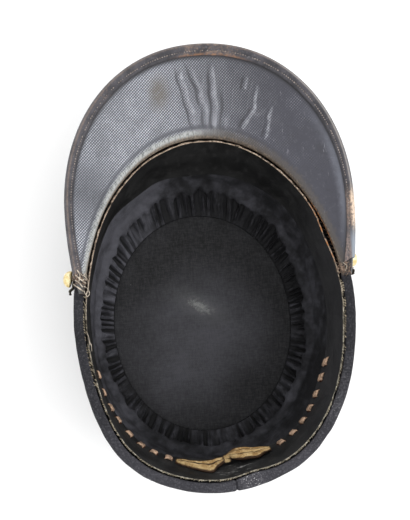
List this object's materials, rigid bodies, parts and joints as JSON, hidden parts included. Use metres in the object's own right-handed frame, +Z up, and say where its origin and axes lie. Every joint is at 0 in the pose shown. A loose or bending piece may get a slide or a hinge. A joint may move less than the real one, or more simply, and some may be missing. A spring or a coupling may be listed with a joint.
{
  "type": "kepi cap",
  "caption": "Cloth kepi cap lying upside down, hollow up, with a lined crown, leather sweatband, bound leather peak, chin strap and side buttons.",
  "frame": {"origin": "middle of the crown top's outer face, which rests on the ground", "axes": "+Z up out of the hollow as the cap lies upside down, +Y towards the peak, +X to the right with the peak at the far side"},
  "size_m": [0.1664, 0.2527, 0.121],
  "materials": {
    "blue_black_wool": "matt milled wool, worn at the folded rim",
    "black_sateen": "soft sheen, gathered",
    "charcoal_cotton": "matt plain weave with a pale dusty smudge",
    "black_leather": "smooth, dull, scuffed",
    "grained_peak_leather": "embossed with a fine diagonal cross grain, creased",
    "worn_binding_leather": "stitched and worn through to tan in places",
    "tan_ribbon": "aged silk, soft sheen",
    "gilt_brass": "polished, lightly tarnished"
  },
  "bodies": {
    "root": {"crown_top": "blue_black_wool", "crown_side": "blue_black_wool", "band": "blue_black_wool", "sweatband": "black_leather", "side_lining": "black_sateen", "tip_lining": "charcoal_cotton", "peak": "grained_peak_leather", "peak_binding": "worn_binding_leather", "chin_strap": "black_leather", "side_button_left": "gilt_brass", "side_button_right": "gilt_brass", "ribbon_bow": "tan_ribbon"}
  },
  "joints": []
}
